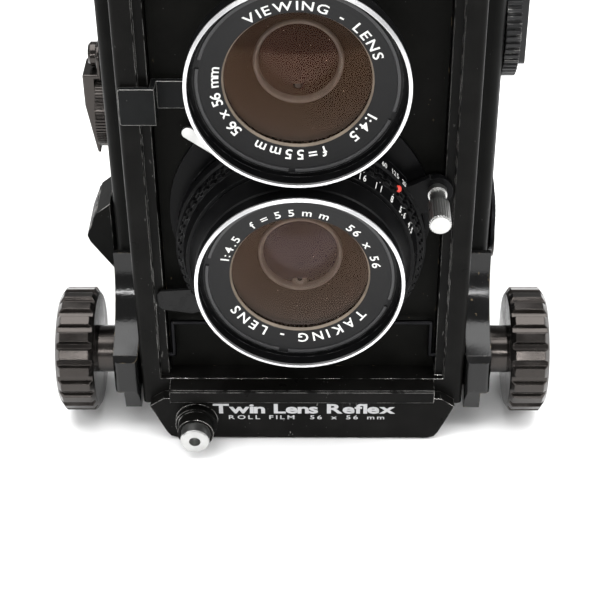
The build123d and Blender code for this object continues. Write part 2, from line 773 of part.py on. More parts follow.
def viewing_barrel():
    back = VIEW_SETBACK
    return turned_y(
        [
            (GLASS_R, BOARD_FRONT), (VIEW_NECK_R, BOARD_FRONT), (VIEW_NECK_R, -54.4),
            (RIM_R - 0.1, -56.6), (RIM_R - 0.1, RIM_Y + RIM_DEEP + back),
            (FILTER_R, RIM_Y + RIM_DEEP + back), (FILTER_R, NAME_Y + back), (NAME_R, NAME_Y + back),
            (NAME_R, NAME_Y + 1.6 + back), (GLASS_R, NAME_Y + 1.6 + back),
        ],
        0, VIEWING_Z,
    )


def lens_rim(z, back):
    """A chromed ring with a sloping outer edge, threaded inside for a filter."""
    y = RIM_Y + back
    return turned_y(
        [
            (FILTER_R, y + RIM_DEEP), (RIM_R, y + RIM_DEEP), (RIM_R, y + 0.3),
            (FILTER_R + 0.06, y), (FILTER_R, y),
        ],
        0, z,
    )


def name_ring(z, back):
    """The dished ring round the glass, sunk level with the barrel's floor."""
    y = NAME_Y + back
    return turned_y(
        [
            (GLASS_R, y + 1.6), (NAME_R, y + 1.6), (NAME_R, y + 0.05),
            (NAME_R - 1, y + 0.05), (GLASS_R, y + 0.9),
        ],
        0, z,
    )


def front_element(z, back):
    """A glass disc with a bulging front."""
    y = NAME_Y + back
    apex = y + 0.1
    edges = Polyline((0, apex), (0, y + 5), (GLASS_R, y + 5), (GLASS_R, y + 1.8))
    return Pos(0, 0, z) * revolve(make_face([edges, cap(GLASS_R, y + 1.8, apex)]), Axis.Y)


def rear_element(z):
    y = BOARD_FRONT + 0.2
    apex = y + 3.8
    edges = Polyline((0, apex), (0, y), (14, y), (14, y + 2))
    return Pos(0, 0, z) * revolve(make_face([edges, cap(14, y + 2, apex)]), Axis.Y)


def iris_blades():
    """A ring of overlapping leaves, closed down to a ten-sided hole."""
    y = -47.0
    disc = rod_y(17, y, y + 0.5, 0, TAKING_Z)
    hole = [(8 * cos(k * pi / 5), TAKING_Z + 8 * sin(k * pi / 5)) for k in range(10)]
    return disc - prism_y(hole, y - 1, y + 1)


def speed_ring():
    ring = fluted_y(28.4, 27.9, 72, 0.5, *SPEED_Y, 0, TAKING_Z)
    return ring - rod_y(RING_CORE + CLEAR, -60, -40, 0, TAKING_Z)


def aperture_ring():
    """A sloping ring that carries its numbers, with a knurled back edge."""
    front, back = APERTURE_Y
    bore = RING_CORE + CLEAR
    ring = turned_y([(bore, front), (26.2, front), (27.3, back), (bore, back)], 0, TAKING_Z)
    knurl = fluted_y(27.9, 27.4, 72, 0.5, back - 0.7, back, 0, TAKING_Z)
    return ring + knurl - rod_y(bore, -60, -40, 0, TAKING_Z)


def cocking_lever():
    """The shutter's winding lever: a flat ring on the neck and a round-ended arm."""
    y0, y1 = WIND_Y
    lever = tube_y(LEVER_OUT, LEVER_IN, y0, y1, 0, TAKING_Z)
    tip_x, tip_z = -25.0, TAKING_Z + 29.1
    arm = block(0, 17.0, y0, y1, -1.4, 1.4)
    lever += Pos(tip_x, 0, tip_z) * Rot(0, 36, 0) * arm
    return lever + rod_y(1.4, y0, y1, tip_x, tip_z)


def release_lever():
    """The shutter's release lever: a flat ring on the same neck and a wide paddle."""
    y0, y1 = TRIP_Y
    lever = tube_y(LEVER_OUT, LEVER_IN, y0, y1, 0, TAKING_Z)
    paddle = [
        (-33.4, -19.1), (-34.3, -18.1), (-34.5, -14.6), (-33.7, -13.7),
        (-26.2, -13.1), (-18.5, -9.8), (-14.5, -16.0), (-26.2, -20.3),
    ]
    return lever + prism_y([(x, TAKING_Z + z) for x, z in paddle], y0, y1)


def cocking_arm():
    """A bent plate round the standard's edge that pushes the winding lever down."""
    outer = block(-39.4, -31.4, -47.4, -46.2, 91.5, 100.5)
    outer = fillet(outer.edges().filter_by(Axis.Y).group_by(Axis.X)[0], 0.6)
    web = block(-32.6, -31.4, -47.4, -41.6, 92, 100)
    inner = block(-32.6, -24.5, -42.8, -41.6, 93.2, 100)
    return outer + web + inner


WIRE_Y = -43.0
WIRE_PIVOT_Z = 23.0


def retaining_wire():
    """A wire bail that holds the lens board, bent down under the shutter case."""
    side = [
        (0, WIRE_Y, 26.3), (16.5, WIRE_Y, 26.3), (20.0, WIRE_Y, 33.0), (31.6, WIRE_Y, 33.0),
        (31.6, WIRE_Y, WIRE_PIVOT_Z), (BOARD_HALF + 1.2, WIRE_Y, WIRE_PIVOT_Z),
    ]
    half = wire(side, 0.6)
    return half + mirror(half, Plane.YZ)


# viewing hood
def hood_lid():
    """The front leaf, which also covers the closed hood."""
    top = LID_Z + LID_LENGTH
    lid = block(-31.6, 31.6, LID_Y - 1, LID_Y + 1, LID_Z + 2.2, top)
    lid = fillet(lid.edges().filter_by(Axis.Y).group_by(Axis.Z)[-1], 3)
    lid += block(-26.4, 26.4, LID_Y - 1, LID_Y + 1, LID_Z, LID_Z + 2.5)
    lid += rod_x(1.6, -26.4, 26.4, LID_Y, LID_Z)
    lid += rod_x(0.8, -30.5, 30.5, LID_Y, LID_Z)
    for x in (-20.0, 17.0):
        ear = block(x, x + 3, LID_Y + 0.5, MAGNIFIER_Y, MAGNIFIER_Z - 1.2, MAGNIFIER_Z + 1.2)
        ear += rod_x(1.2, x, x + 3, MAGNIFIER_Y, MAGNIFIER_Z)
        lid += ear - rod_x(0.6 + RUNNING, x - 1, x + 4, MAGNIFIER_Y, MAGNIFIER_Z)
    return lid


def side_leaf(side, z):
    half = LEAF_THICK / 2
    x = side * SIDE_LEAF_X
    leaf = block(x - half, x + half, -20.4, 34, z, z + 63.5)
    leaf += rod_y(1.0, -20.4, 34, x, z)
    return leaf + rod_y(0.6, -27.4, 37.6, x, z)


def rear_leaf():
    half = LEAF_THICK / 2
    y, z = REAR_LEAF_Y, REAR_LEAF_Z
    leaf = block(-31.6, 31.6, y - half, y + half, z, z + 56)
    leaf += rod_x(0.7, -31.6, 31.6, y, z)
    return leaf + rod_x(0.6, -35.5, 35.5, y, z)


MAGNIFIER_R = 13.0
MAGNIFIER_DROP = 20.0


def magnifier_arm():
    """The frame of the focusing magnifier, folded flat against the lid."""
    y0, y1 = MAGNIFIER_Y - 0.9, MAGNIFIER_Y + 1.0
    plate = block(-16.6, 16.6, y0, y1, MAGNIFIER_Z - 36, MAGNIFIER_Z - 0.5)
    plate = fillet(plate.edges().filter_by(Axis.Y).group_by(Axis.Z)[0], 8)
    plate += rod_x(1.0, -16.6, 16.6, MAGNIFIER_Y, MAGNIFIER_Z)
    plate += rod_x(0.6, -19.5, 19.5, MAGNIFIER_Y, MAGNIFIER_Z)
    return plate - rod_y(MAGNIFIER_R, y0 - 1, y1 + 1, 0, MAGNIFIER_Z - MAGNIFIER_DROP)


def magnifier_lens():
    z = MAGNIFIER_Z - MAGNIFIER_DROP
    edges = Polyline((0, 1.4), (0, -0.8), (MAGNIFIER_R, -0.8), (MAGNIFIER_R, 0.2))
    glass = make_face([edges, cap(MAGNIFIER_R, 0.2, 1.4)])
    return Pos(0, MAGNIFIER_Y, z) * revolve(glass, Axis.Y)


save("body_casting", body_casting())
save("focus_housings", both_sides(focus_housing()))
save("base_plate", base_plate())
save("tripod_socket", tripod_socket())
save("side_leathers", [side_leather(-1), side_leather(1)])
save("film_gate", film_gate())
save("film_guide_bars", film_guide_bars())
save("reflex_mirror", reflex_mirror())
save("focusing_screen", focusing_screen())
save("screen_frame", screen_frame())
save("hood_frame", hood_frame())
save("strap_lugs", both_sides(strap_lug()))
save("body_screws", body_screws())
save("bellows", bellows())
save("door_hinge_pin", door_hinge_pin())

save("back_door", back_door())
save("back_leather", back_leather())
save("pressure_plate", pressure_plate())
save("pressure_spring", pressure_spring())
save("reminder_dial", reminder_dial())
save("door_latch", door_latch())

save("take_up_spool", spool(TAKEUP_Z))
save("supply_spool", spool(SUPPLY_Z))
save("spool_knob_upper", spool_knob(TAKEUP_Z))
save("spool_knob_lower", spool_knob(SUPPLY_Z))
save("crank_disc", crank_disc())
save("crank_arm", crank_arm())
save("crank_knob", crank_knob())
save("counter_dial", counter_dial())
save("side_release", side_release())
save("lens_lock_dial", lens_lock_dial())
save("distance_scale", distance_scale())

save("focus_shaft", focus_shaft())
save("focus_knobs", both_sides(focus_knob()))

save("front_standard", front_standard())
save("focus_racks", both_sides(focus_rack()))
save("lower_apron", lower_apron())
save("lens_board", lens_board())
save("shutter_housing", shutter_housing())
save("taking_barrel", taking_barrel())
save("viewing_barrel", viewing_barrel())
save("lens_rims", [lens_rim(TAKING_Z, 0), lens_rim(VIEWING_Z, VIEW_SETBACK)])
save("name_rings", [name_ring(TAKING_Z, 0), name_ring(VIEWING_Z, VIEW_SETBACK)])
save("front_elements", [front_element(TAKING_Z, 0), front_element(VIEWING_Z, VIEW_SETBACK)])
save("rear_elements", [rear_element(TAKING_Z), rear_element(VIEWING_Z)])
save("iris_blades", iris_blades())
save("flash_socket", flash_socket())
save("release_button", release_button())
save("retaining_wire", retaining_wire())
save("speed_ring", speed_ring())
save("aperture_ring", aperture_ring())
save("cocking_lever", cocking_lever())
save("release_lever", release_lever())
save("cocking_arm", cocking_arm())

save("hood_lid", hood_lid())
save("hood_flap_left", side_leaf(-1, LEFT_LEAF_Z))
save("hood_flap_right", side_leaf(1, RIGHT_LEAF_Z))
save("hood_flap_rear", rear_leaf())
save("magnifier_arm", magnifier_arm())
save("magnifier_lens", magnifier_lens())
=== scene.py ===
import json
from math import cos, pi, radians, sin

import bmesh
import bpy
from mathutils import Matrix, Vector


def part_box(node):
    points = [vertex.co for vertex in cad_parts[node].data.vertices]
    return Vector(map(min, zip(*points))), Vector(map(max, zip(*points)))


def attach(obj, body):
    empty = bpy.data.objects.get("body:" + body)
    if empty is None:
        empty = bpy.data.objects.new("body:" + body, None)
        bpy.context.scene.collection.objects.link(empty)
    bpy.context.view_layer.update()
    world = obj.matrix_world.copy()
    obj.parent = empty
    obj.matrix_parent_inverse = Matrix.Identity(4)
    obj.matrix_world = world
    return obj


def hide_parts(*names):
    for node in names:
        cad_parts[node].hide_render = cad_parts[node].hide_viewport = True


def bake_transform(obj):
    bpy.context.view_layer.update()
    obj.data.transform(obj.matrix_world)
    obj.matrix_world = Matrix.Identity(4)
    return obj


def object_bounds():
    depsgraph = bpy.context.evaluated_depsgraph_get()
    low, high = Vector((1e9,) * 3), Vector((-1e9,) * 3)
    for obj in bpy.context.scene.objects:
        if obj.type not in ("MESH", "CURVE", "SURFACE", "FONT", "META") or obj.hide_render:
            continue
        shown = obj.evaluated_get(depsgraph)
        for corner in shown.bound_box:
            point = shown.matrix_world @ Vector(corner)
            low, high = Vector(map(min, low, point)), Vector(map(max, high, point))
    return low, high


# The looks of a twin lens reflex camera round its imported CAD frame. Metres throughout.
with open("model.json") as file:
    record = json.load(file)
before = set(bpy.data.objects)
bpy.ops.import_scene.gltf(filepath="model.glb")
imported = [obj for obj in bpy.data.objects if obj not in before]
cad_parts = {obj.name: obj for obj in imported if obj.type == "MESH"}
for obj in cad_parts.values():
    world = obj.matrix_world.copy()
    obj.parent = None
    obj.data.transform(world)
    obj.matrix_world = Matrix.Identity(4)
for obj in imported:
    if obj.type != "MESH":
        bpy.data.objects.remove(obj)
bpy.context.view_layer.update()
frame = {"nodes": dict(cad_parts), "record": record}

MM = 0.001
SLOT_OF = {part["node"]: part["material_slot"] for part in frame["record"]["subparts"]}
TAKING = sum(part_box("aperture_ring"), Vector()) / 2
VIEWING = sum(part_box("viewing_barrel"), Vector()) / 2
LENSES = {"taking": TAKING, "viewing": VIEWING}
SPEED_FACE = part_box("speed_ring")[1].y


# procedural materials
class Finish:
    """One node material, with short methods for the patterns that feed its shader."""

    def __init__(self, name, color, roughness, **inputs):
        self.material = bpy.data.materials.new(name)
        self.material.use_nodes = True
        self.nodes = self.material.node_tree.nodes
        self.links = self.material.node_tree.links
        self.shader = self.nodes["Principled BSDF"]
        self.place = self.nodes.new("ShaderNodeTexCoord").outputs["Object"]
        self.shader.inputs["Base Color"].default_value = (*color, 1)
        self.shader.inputs["Roughness"].default_value = roughness
        for key, value in inputs.items():
            self.shader.inputs[key.replace("_", " ")].default_value = value

    def add(self, kind, **settings):
        node = self.nodes.new(kind)
        for key, value in settings.items():
            setattr(node, key, value)
        return node

    def feed(self, socket, value):
        if isinstance(value, bpy.types.NodeSocket):
            self.links.new(value, socket)
        else:
            socket.default_value = value

    def math(self, operation, first, second=0.0):
        node = self.add("ShaderNodeMath", operation=operation)
        self.feed(node.inputs[0], first)
        self.feed(node.inputs[1], second)
        return node.outputs[0]

    def spread(self, value, low, high, at_low=0.0, at_high=1.0):
        """value's range low to high, mapped to at_low to at_high and held there."""
        node = self.add("ShaderNodeMapRange")
        self.feed(node.inputs["Value"], value)
        node.inputs["From Min"].default_value = low
        node.inputs["From Max"].default_value = high
        node.inputs["To Min"].default_value = at_low
        node.inputs["To Max"].default_value = at_high
        return node.outputs["Result"]

    def stretched(self, stretch):
        node = self.add("ShaderNodeMapping")
        self.feed(node.inputs["Vector"], self.place)
        node.inputs["Scale"].default_value = stretch
        return node.outputs["Vector"]

    def noise(self, size, detail=3.0, stretch=(1, 1, 1)):
        """Cloudy grain whose lumps are about size metres across."""
        node = self.add("ShaderNodeTexNoise")
        self.feed(node.inputs["Vector"], self.stretched(stretch))
        node.inputs["Scale"].default_value = 1 / size
        node.inputs["Detail"].default_value = detail
        return node.outputs["Fac"]

    def cells(self, size, feature="F1"):
        node = self.add("ShaderNodeTexVoronoi", feature=feature)
        self.feed(node.inputs["Vector"], self.place)
        node.inputs["Scale"].default_value = 1 / size
        return node.outputs["Distance"]

    def edges(self, radius, start=0.02, full=0.22):
        """1 on edges that a rounding of this radius would touch, 0 on flat faces."""
        bevel = self.add("ShaderNodeBevel", samples=4)
        bevel.inputs["Radius"].default_value = radius
        plain = self.add("ShaderNodeNewGeometry")
        dot = self.add("ShaderNodeVectorMath", operation="DOT_PRODUCT")
        self.feed(dot.inputs[0], bevel.outputs["Normal"])
        self.feed(dot.inputs[1], plain.outputs["Normal"])
        return self.spread(self.math("SUBTRACT", 1.0, dot.outputs["Value"]), start, full)

    def color_mix(self, amount, first, second):
        node = self.add("ShaderNodeMix", data_type="RGBA")
        self.feed(node.inputs["Factor"], amount)
        self.feed(node.inputs["A"], first if not isinstance(first, tuple) else (*first, 1))
        self.feed(node.inputs["B"], second if not isinstance(second, tuple) else (*second, 1))
        return node.outputs["Result"]

    def relief(self, *layers, round_edges=0.0):
        """Bump layers of (height, distance in metres), over edges rounded in shading."""
        normal = None
        if round_edges:
            bevel = self.add("ShaderNodeBevel", samples=4)
            bevel.inputs["Radius"].default_value = round_edges
            normal = bevel.outputs["Normal"]
        for height, distance in layers:
            bump = self.add("ShaderNodeBump")
            bump.inputs["Strength"].default_value = 1.0
            bump.inputs["Distance"].default_value = distance
            self.feed(bump.inputs["Height"], height)
            if normal is not None:
                self.feed(bump.inputs["Normal"], normal)
            normal = bump.outputs["Normal"]
        self.feed(self.shader.inputs["Normal"], normal)

    def color(self, value):
        self.feed(self.shader.inputs["Base Color"], value)

    def roughness(self, value):
        self.feed(self.shader.inputs["Roughness"], value)

    def metallic(self, value):
        self.feed(self.shader.inputs["Metallic"], value)


def worn_paint(name, color, rough, bare, grain, wear, level=0.5, edge=0.35 * MM):
    """Paint over metal: fine grain, cloudy polish, dust, and edges rubbed to bare."""
    finish = Finish(name, color, rough, Specular_IOR_Level=level)
    cloud = finish.noise(9 * MM, 4)
    speckle = finish.noise(grain, 2)
    rub = finish.math("MULTIPLY", finish.edges(edge), finish.spread(finish.noise(3.1 * MM, 5), *wear))
    nick = finish.spread(finish.noise(0.9 * MM, 4, (1, 1, 0.35)), 0.69, 0.73)
    nick = finish.math("MULTIPLY", nick, finish.spread(finish.noise(14 * MM, 2), 0.56, 0.66))
    worn = finish.math("MAXIMUM", rub, finish.math("MULTIPLY", nick, 0.5))
    dust = finish.spread(finish.cells(2.6 * MM), 0.02, 0.045, 0.12, 0.0)
    hazy = tuple(c * 1.6 + 0.001 for c in color)
    paint = finish.color_mix(finish.spread(cloud, 0.4, 0.75), color, hazy)
    paint = finish.color_mix(dust, paint, (0.8, 0.78, 0.74))
    finish.color(finish.color_mix(worn, paint, bare))
    finish.metallic(finish.math("MULTIPLY", worn, 0.9))
    polish = finish.spread(cloud, 0.3, 0.7, rough - 0.07, rough + 0.09)
    finish.roughness(finish.math("ADD", polish, finish.math("MULTIPLY", worn, -0.1)))
    finish.relief((speckle, 0.02 * MM), (cloud, 0.05 * MM), round_edges=edge)
    return finish.material


def moulded(name, color, rough, tint, level=0.5):
    """Hard glossy black, with handling haze and hairline scuffs."""
    finish = Finish(name, color, rough, Specular_IOR_Level=level, Specular_Tint=(*tint, 1))
    haze = finish.noise(6 * MM, 4)
    scuff = finish.noise(0.5 * MM, 2, (1, 1, 7))
    hazy = tuple(c * 2 + 0.002 for c in color)
    finish.color(finish.color_mix(finish.spread(haze, 0.45, 0.8), color, hazy))
    smooth = finish.spread(haze, 0.3, 0.7, rough - 0.05, rough + 0.1)
    finish.roughness(finish.math("ADD", smooth, finish.spread(scuff, 0.6, 0.75, 0, 0.08)))
    finish.relief((scuff, 0.008 * MM), (haze, 0.04 * MM), round_edges=0.25 * MM)
    return finish.material


def turned_black(name, color, rough, level=0.5, groove=0.002 * MM, drawn=0.7):
    """Black anodised metal off the lathe: fine rings round each lens axis."""
    finish = Finish(name, color, rough, Specular_IOR_Level=level, Anisotropic=drawn)
    parts = finish.add("ShaderNodeSeparateXYZ")
    finish.feed(parts.inputs[0], finish.place)
    middle = (TAKING.z + VIEWING.z) / 2
    upper = finish.math("GREATER_THAN", parts.outputs["Z"], middle)
    low = finish.math("SUBTRACT", parts.outputs["Z"], TAKING.z)
    rise = finish.math("SUBTRACT", low, finish.math("MULTIPLY", upper, VIEWING.z - TAKING.z))
    across = finish.math("MULTIPLY", parts.outputs["X"], parts.outputs["X"])
    radius = finish.math("SQRT", finish.math("ADD", across, finish.math("MULTIPLY", rise, rise)))
    along = finish.add("ShaderNodeCombineXYZ")
    finish.feed(along.inputs["X"], rise)
    finish.feed(along.inputs["Z"], finish.math("MULTIPLY", parts.outputs["X"], -1.0))
    finish.feed(finish.shader.inputs["Tangent"], along.outputs["Vector"])
    rings = finish.math("SINE", finish.math("MULTIPLY", radius, 2 * pi / (0.16 * MM)))
    depth = finish.math("SINE", finish.math("MULTIPLY", parts.outputs["Y"], 2 * pi / (0.18 * MM)))
    haze = finish.noise(5 * MM, 4)
    patchy = finish.spread(finish.noise(2.4 * MM, 4), 0.45, 0.7, 0, 0.7)
    worn = finish.math("MULTIPLY", finish.edges(0.2 * MM), patchy)
    hazy = tuple(c * 1.6 + 0.001 for c in color)
    coat = finish.color_mix(finish.spread(haze, 0.4, 0.8), color, hazy)
    finish.color(finish.color_mix(worn, coat, (0.16, 0.16, 0.16)))
    finish.roughness(finish.spread(haze, 0.3, 0.7, rough - 0.06, rough + 0.08))
    finish.relief((finish.math("ADD", rings, depth), groove), (haze, 0.02 * MM), round_edges=0.15 * MM)
    return finish.material


def plated(name, color, rough, grain=(1, 1, 1)):
    """Chromium or plain metal: drawn grain, soft smudges and a few pits."""
    finish = Finish(name, color, rough, Metallic=1.0)
    smudge = finish.noise(4 * MM, 4)
    lines = finish.noise(0.22 * MM, 2, grain)
    pits = finish.spread(finish.noise(0.45 * MM, 2), 0.72, 0.78)
    shade = finish.color_mix(finish.spread(smudge, 0.35, 0.7), color, tuple(c * 0.82 for c in color))
    finish.color(finish.color_mix(finish.math("MULTIPLY", pits, 0.5), shade, (0.12, 0.1, 0.08)))
    smooth = finish.spread(smudge, 0.3, 0.7, rough - 0.04, rough + 0.08)
    finish.roughness(finish.math("ADD", smooth, finish.spread(lines, 0.3, 0.8, 0, 0.06)))
    finish.relief((lines, 0.01 * MM), (smudge, 0.03 * MM), round_edges=0.15 * MM)
    return finish.material


def grained_leather(name, color, grain, depth):
    """Leather grain: rounded cells parted by creases, which are painted darker as shade, smoother where it
    is handled.
    """
    finish = Finish(name, color, 0.55, Specular_IOR_Level=0.35)
    crease_and_shade = finish.spread(finish.cells(grain, "DISTANCE_TO_EDGE"), 0.0, 0.16)
    lump = finish.cells(grain * 0.9)
    fine = finish.noise(grain * 0.25, 3)
    polish = finish.noise(12 * MM, 3)
    lit = finish.color_mix(finish.spread(polish, 0.4, 0.7), color, tuple(c * 1.7 + 0.002 for c in color))
    # painted shade: the creases are darkened to 0.4 of the leather's colour
    finish.color(finish.color_mix(crease_and_shade, tuple(c * 0.4 for c in color), lit))
    handled = finish.spread(polish, 0.35, 0.7, 0.62, 0.4)
    finish.roughness(finish.math("ADD", handled, finish.spread(crease_and_shade, 0, 1, 0.15, 0)))
    finish.relief((crease_and_shade, depth), (lump, depth * 0.7), (fine, depth * 0.25))
    return finish.material


def lens_glass(name, tint, level, body):
    """Clear glass whose coating colours what it reflects, with a little dust."""
    finish = Finish(name, body, 0.0, Transmission_Weight=1.0, IOR=1.5)
    finish.shader.inputs["Specular IOR Level"].default_value = level
    finish.shader.inputs["Specular Tint"].default_value = (*tint, 1)
    dust = finish.spread(finish.cells(1.8 * MM), 0.02, 0.04, 0.4, 0.0)
    film = finish.noise(6 * MM, 3)
    finish.roughness(finish.math("ADD", dust, finish.spread(film, 0.4, 0.8, 0.0, 0.03)))
    return finish.material


def inner_glass(name, color, tint, level):
    """An element deep in the cell: its coating seen over darkness."""
    finish = Finish(name, color, 0.05, Specular_IOR_Level=level, Specular_Tint=(*tint, 1))
    film = finish.noise(5 * MM, 3)
    finish.color(finish.color_mix(finish.spread(film, 0.3, 0.8), color, tuple(c * 1.5 for c in color)))
    finish.roughness(finish.spread(film, 0.3, 0.8, 0.03, 0.09))
    return finish.material


def ground(name):
    finish = Finish(name, (0.62, 0.64, 0.62), 0.7, Transmission_Weight=0.35, IOR=1.5)
    etch = finish.noise(0.12 * MM, 2)
    finish.color(finish.color_mix(etch, (0.5, 0.52, 0.5), (0.7, 0.72, 0.69)))
    finish.relief((etch, 0.01 * MM))
    return finish.material


def ink(name, color, rough=0.5):
    """Paint in engraved letters, slightly uneven and dirty."""
    finish = Finish(name, color, rough)
    patch = finish.noise(0.5 * MM, 3)
    finish.color(finish.color_mix(finish.spread(patch, 0.5, 0.8), color, tuple(c * 0.72 for c in color)))
    finish.relief((patch, 0.01 * MM))
    return finish.material


BRASS = (0.42, 0.33, 0.2)
SILVER = (0.5, 0.49, 0.47)
WARM = (1.0, 0.9, 0.84)
PLAIN = (1.0, 1.0, 1.0)
DRAWN = (0.05, 1, 1)

MATERIALS = {
    "satin_black": worn_paint(
        "satin_black", (0.0034, 0.0035, 0.0032), 0.4, SILVER, 0.25 * MM, (0.48, 0.6), 0.04
    ),
    "standard_black": worn_paint(
        "standard_black", (0.0042, 0.0041, 0.0038), 0.34, SILVER, 0.3 * MM, (0.42, 0.54), 0.045
    ),
    "board_black": worn_paint(
        "board_black", (0.0036, 0.0036, 0.0031), 0.66, BRASS, 0.18 * MM, (0.6, 0.7), 0.05
    ),
    "housing_black": worn_paint(
        "housing_black", (0.0045, 0.0045, 0.0045), 0.15, BRASS, 0.5 * MM, (0.5, 0.62), 0.3
    ),
    "knob_black": moulded("knob_black", (0.0045, 0.0041, 0.0038), 0.16, WARM, 0.48),
    "lens_black": turned_black("lens_black", (0.0026, 0.0026, 0.0028), 0.34, 0.07),
    "ring_black": turned_black("ring_black", (0.0026, 0.0026, 0.0028), 0.32, 0.08),
    "name_black": turned_black("name_black", (0.0034, 0.0034, 0.0037), 0.42, 0.22, 0.004 * MM, 0.35),
    "rim_chrome": plated("rim_chrome", (0.84, 0.84, 0.85), 0.34),
    "trim_chrome": plated("trim_chrome", (0.5, 0.5, 0.49), 0.3, DRAWN),
    "lever_black": moulded("lever_black", (0.006, 0.006, 0.006), 0.24, PLAIN, 0.12),
    "steel": plated("steel", (0.36, 0.35, 0.34), 0.36, DRAWN),
    "dial_alloy": plated("dial_alloy", (0.42, 0.42, 0.43), 0.38),
    "dial_black": worn_paint(
        "dial_black", (0.008, 0.008, 0.0085), 0.34, SILVER, 0.3 * MM, (0.55, 0.68), 0.25
    ),
    "leather": grained_leather("leather", (0.009, 0.009, 0.009), 0.9 * MM, 0.12 * MM),
    "bellows_leather": grained_leather("bellows_leather", (0.008, 0.008, 0.008), 0.5 * MM, 0.04 * MM),
    "coated_glass": lens_glass("coated_glass", (0.3, 0.165, 0.095), 0.5, (0.8, 0.74, 0.7)),
    "clear_glass": lens_glass("clear_glass", (0.8, 0.9, 1.0), 0.5, (0.95, 0.96, 0.96)),
    "ground_glass": ground("ground_glass"),
    "mirror_glass": plated("mirror_glass", (0.88, 0.89, 0.9), 0.05),
    "gate_black": worn_paint("gate_black", (0.006, 0.006, 0.006), 0.5, BRASS, 0.2 * MM, (0.6, 0.7), 0.2),
    "iris_steel": plated("iris_steel", (0.05, 0.05, 0.055), 0.4),
    "spool_black": moulded("spool_black", (0.01, 0.01, 0.01), 0.3, PLAIN),
    "leaf_black": worn_paint("leaf_black", (0.008, 0.008, 0.0085), 0.4, SILVER, 0.25 * MM, (0.46, 0.6), 0.2),
}
WHITE_INK = ink("white_ink", (0.82, 0.82, 0.8))
SILVER_INK = ink("silver_ink", (0.5, 0.5, 0.51), 0.35)
RED_INK = ink("red_ink", (0.75, 0.06, 0.04))
GREY_INK = ink("grey_ink", (0.18, 0.18, 0.18))
ROSE_GLASS = inner_glass("rose_glass", (0.016, 0.008, 0.009), (1.0, 0.62, 0.6), 0.16)
VIOLET_GLASS = inner_glass("violet_glass", (0.012, 0.011, 0.02), (0.74, 0.72, 1.0), 0.2)
CELL_BROWN = turned_black("cell_brown", (0.008, 0.006, 0.0045), 0.5, 0.1)
CELL_GREY = turned_black("cell_grey", (0.16, 0.15, 0.14), 0.4, 0.5)
# Lighter than the other lens blacks: a dark grey finish, lightened further to paint the raised ring's sheen.
RING_GREY_SHEEN = turned_black("ring_grey_painted_sheen", (0.012, 0.012, 0.013), 0.35, 0.6, 0.004 * MM)
# A brass-like brown ring at the glass edge, made bright enough to paint the highlight line round the glass.
GLASS_EDGE_HIGHLIGHT = turned_black("edge_brown_painted_highlight", (0.16, 0.13, 0.1), 0.45, 0.4)
WIRE_BLACK = plated("wire_black", (0.012, 0.012, 0.013), 0.36, DRAWN)
# The cocking arm's paint wears through much more at its edges: partly real wear, partly a painted highlight
# along those edges.
ARM_WEAR_AND_HIGHLIGHT = worn_paint(
    "arm_black_wear_and_painted_highlight", (0.005, 0.0055, 0.0056), 0.42, SILVER, 0.2 * MM, (0.3, 0.46), 0.07, 0.3 * MM
)
AMBER = Finish("dried_amber", (0.16, 0.09, 0.025), 0.3, Subsurface_Weight=0.2)
AMBER.relief((AMBER.noise(0.7 * MM, 5), 0.3 * MM), (AMBER.cells(0.9 * MM), 0.2 * MM))
OWN_FINISH = {"retaining_wire": WIRE_BLACK, "distance_scale": WIRE_BLACK, "cocking_arm": ARM_WEAR_AND_HIGHLIGHT}


def dress_cad_nodes():
    """Gives every CAD node the finish of its slot, and rounds the knobs' ribs."""
    for name, node in frame["nodes"].items():
        slot = SLOT_OF[name]
        node.data.materials.clear()
        node.data.materials.append(OWN_FINISH.get(name, MATERIALS[slot]))
    for name, width in (("focus_knobs", 0.55), ("lens_lock_dial", 0.3), ("crank_arm", 0.5)):
        weld = frame["nodes"][name].modifiers.new("weld", "WELD")
        weld.merge_threshold = 0.002 * MM
        bevel = frame["nodes"][name].modifiers.new("round", "BEVEL")
        bevel.width = width * MM
        bevel.segments = 3
        bevel.limit_method = "ANGLE"
        bevel.angle_limit = radians(28)
        bevel.harden_normals = False


# mesh building
def piece_from(name, build, body, material, smooth=False):
    """A mesh piece made by build(bmesh), riding on body."""
    mesh = bpy.data.meshes.new(name)
    shape = bmesh.new()
    build(shape)
    bmesh.ops.recalc_face_normals(shape, faces=shape.faces)
    shape.to_mesh(mesh)
    shape.free()
    for face in mesh.polygons:
        face.use_smooth = smooth
    piece = bpy.data.objects.new(name, mesh)
    bpy.context.scene.collection.objects.link(piece)
    mesh.materials.append(material)
    if body:
        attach(piece, body)
    return piece


def add_turned(shape, profile, centre, steps=96, close=False):
    """Turns (radius, y) points about the axis along Y through centre's X and Z."""
    rows = []
    for k in range(steps):
        a = 2 * pi * k / steps
        rows.append([shape.verts.new((centre.x + r * sin(a), y, centre.z + r * cos(a))) for r, y in profile])
    count = len(profile) if close else len(profile) - 1
    for k in range(steps):
        here, there = rows[k], rows[(k + 1) % steps]
        for i in range(count):
            j = (i + 1) % len(profile)
            shape.faces.new((here[i], there[i], there[j], here[j]))


def add_box(shape, low, high):
    made = bmesh.ops.create_cube(shape, size=1.0)
    low, high = Vector(low), Vector(high)
    size = high - low
    for vert in made["verts"]:
        vert.co = Vector(c * s for c, s in zip(vert.co, size)) + (low + high) / 2


